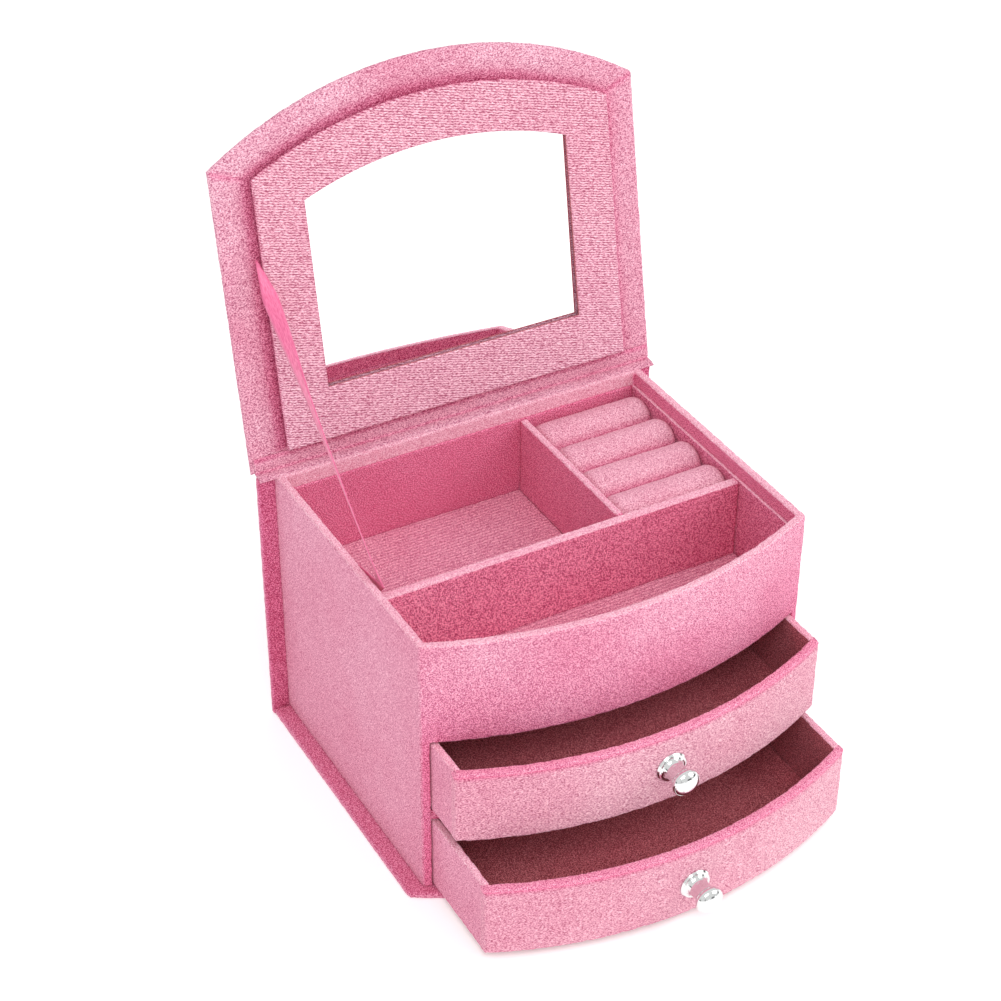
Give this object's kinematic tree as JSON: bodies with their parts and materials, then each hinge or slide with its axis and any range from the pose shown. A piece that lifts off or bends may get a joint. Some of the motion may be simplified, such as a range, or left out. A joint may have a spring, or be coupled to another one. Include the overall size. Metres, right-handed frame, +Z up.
{
  "type": "jewellery chest",
  "caption": "Bow-fronted velvet jewellery box: hinged lid with an arched mirror, divided top tray with a ring cushion, and drawers with metal knobs below.",
  "frame": {"origin": "on the underside of the base board, under the middle of the side walls' depth", "axes": "+Z up, +Y towards the hinge, -Y towards the bowed drawer fronts, +X to the right seen from the front"},
  "size_m": [0.1752, 0.2198, 0.2574],
  "materials": {
    "velvet_board": "matte",
    "lining_board": "matte",
    "cushion": "matte",
    "velvet_cloth": "matte",
    "satin_ribbon": "satin",
    "foam": "matte",
    "mirror_glass": "polished",
    "knob_chrome": "polished",
    "screw_steel": "satin"
  },
  "bodies": {
    "chest": {"base_board": "velvet_board", "back_board": "velvet_board", "left_wall": "velvet_board", "right_wall": "velvet_board", "rear_wall": "velvet_board", "front_panel": "velvet_board", "drawer_shelf": "lining_board", "tray_floor": "lining_board", "left_liner": "lining_board", "right_liner": "lining_board", "rear_liner": "lining_board", "front_liner": "lining_board", "cross_divider": "lining_board", "side_divider": "lining_board", "front_tray_lining": "lining_board", "left_tray_lining": "lining_board", "ring_cushion_base": "cushion", "ring_roll_1": "cushion", "ring_roll_2": "cushion", "ring_roll_3": "cushion", "ring_roll_4": "cushion", "hinge_cloth": "velvet_cloth", "ribbon_stay": "satin_ribbon"},
    "lid": {"lid_board": "velvet_board", "lid_panel_core": "velvet_board", "lid_panel_face": "velvet_board", "mirror": "mirror_glass", "mirror_backing": "foam"},
    "upper_drawer": {"upper_drawer_front": "velvet_board", "upper_drawer_left_side": "lining_board", "upper_drawer_right_side": "lining_board", "upper_drawer_back": "lining_board", "upper_drawer_bottom": "lining_board", "upper_drawer_lining": "lining_board", "upper_knob_rosette": "knob_chrome", "upper_knob": "knob_chrome", "upper_knob_screw": "screw_steel"},
    "lower_drawer": {"lower_drawer_front": "velvet_board", "lower_drawer_left_side": "lining_board", "lower_drawer_right_side": "lining_board", "lower_drawer_back": "lining_board", "lower_drawer_bottom": "lining_board", "lower_drawer_lining": "lining_board", "lower_knob_rosette": "knob_chrome", "lower_knob": "knob_chrome", "lower_knob_screw": "screw_steel"}
  },
  "joints": [
    {"name": "lid_hinge", "type": "hinge", "parent": "chest", "child": "lid", "pos_m": [0, 0.06165, 0.1158], "axis": [1, 0, 0], "range_deg": [0, 100.5], "deforming": ["hinge_cloth", "ribbon_stay"]},
    {"name": "upper_drawer_slide", "type": "slide", "parent": "chest", "child": "upper_drawer", "axis": [0, -1, 0], "range_m": [-0.0195, 0.0655]},
    {"name": "lower_drawer_slide", "type": "slide", "parent": "chest", "child": "lower_drawer", "axis": [0, -1, 0], "range_m": [-0.0405, 0.0445]}
  ]
}
